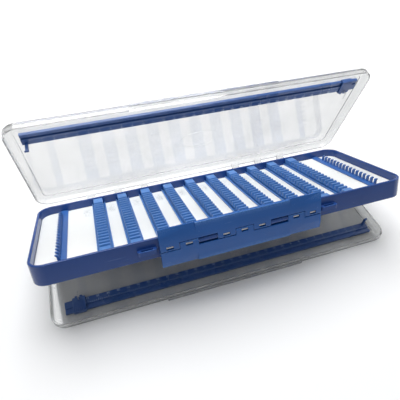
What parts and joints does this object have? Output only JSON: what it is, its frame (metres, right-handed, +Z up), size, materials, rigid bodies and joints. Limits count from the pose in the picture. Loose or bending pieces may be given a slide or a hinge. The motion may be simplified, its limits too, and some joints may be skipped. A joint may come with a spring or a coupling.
{
  "type": "cryogenic storage box",
  "caption": "Double-sided flat storage case: one tray with slotted bars on both faces, a hinged clear lid over each face, a split latch, and measuring rails with sliding cursors.",
  "frame": {"origin": "centre of the lower lid's flat outer face, on the surface that the box lies on", "axes": "+X along the hinges and the tray's length, +Y from the latch at the front to the hinges at the rear, +Z up"},
  "size_m": [0.366, 0.1462, 0.1515],
  "materials": {
    "blue_plastic": "glossy blue moulded plastic",
    "white_floor": "white plastic sheet with faint grey marks",
    "clear_plastic": "clear moulded plastic with a slight grey tint",
    "steel": "drawn steel wire"
  },
  "bodies": {
    "lower_lid": {"lower_lid": "clear_plastic", "lower_rail": "blue_plastic"},
    "tray": {"tray_frame": "blue_plastic", "floor_panel": "white_floor", "upper_bar_01": "blue_plastic", "upper_bar_02": "blue_plastic", "upper_bar_03": "blue_plastic", "upper_bar_04": "blue_plastic", "upper_bar_05": "blue_plastic", "upper_bar_06": "blue_plastic", "upper_bar_07": "blue_plastic", "upper_bar_08": "blue_plastic", "upper_bar_09": "blue_plastic", "upper_bar_10": "blue_plastic", "lower_bar_01": "blue_plastic", "lower_bar_02": "blue_plastic", "lower_bar_03": "blue_plastic", "lower_bar_04": "blue_plastic", "lower_bar_05": "blue_plastic", "lower_bar_06": "blue_plastic", "lower_bar_07": "blue_plastic", "lower_bar_08": "blue_plastic", "lower_bar_09": "blue_plastic", "lower_bar_10": "blue_plastic", "upper_comb_left": "blue_plastic", "upper_comb_right": "blue_plastic", "lower_comb_left": "blue_plastic", "lower_comb_right": "blue_plastic", "upper_hinge_pin_left": "steel", "upper_hinge_pin_right": "steel", "lower_hinge_pin_left": "steel", "lower_hinge_pin_right": "steel", "latch_pin": "steel"},
    "upper_lid": {"upper_lid": "clear_plastic", "upper_rail": "blue_plastic"},
    "upper_latch": {"upper_latch": "blue_plastic"},
    "lower_latch": {"lower_latch": "blue_plastic"},
    "upper_cursor": {"upper_cursor": "blue_plastic", "upper_cursor_pin": "steel"},
    "lower_cursor": {"lower_cursor": "blue_plastic", "lower_cursor_pin": "steel"}
  },
  "joints": [
    {"name": "tray_hinge", "type": "hinge", "parent": "lower_lid", "child": "tray", "pos_m": [0, 0.0659, 0.0122], "axis": [-1, 0, 0], "range_deg": [-25.3, 64.7]},
    {"name": "upper_lid_hinge", "type": "hinge", "parent": "tray", "child": "upper_lid", "pos_m": [0, 0.07035, 0.0216], "axis": [-1, 0, 0], "range_deg": [-52.7, 37.3]},
    {"name": "upper_latch_pivot", "type": "hinge", "parent": "tray", "child": "upper_latch", "pos_m": [0, -0.05176, 0.07357], "axis": [1, 0, 0], "range_deg": [0, 50]},
    {"name": "lower_latch_pivot", "type": "hinge", "parent": "tray", "child": "lower_latch", "pos_m": [0, -0.05176, 0.07357], "axis": [-1, 0, 0], "range_deg": [0, 50]},
    {"name": "upper_cursor_slide", "type": "slide", "parent": "upper_lid", "child": "upper_cursor", "axis": [-1, 0, 0], "range_m": [-0.007, 0.311]},
    {"name": "lower_cursor_slide", "type": "slide", "parent": "lower_lid", "child": "lower_cursor", "axis": [1, 0, 0], "range_m": [-0.007, 0.311]}
  ]
}
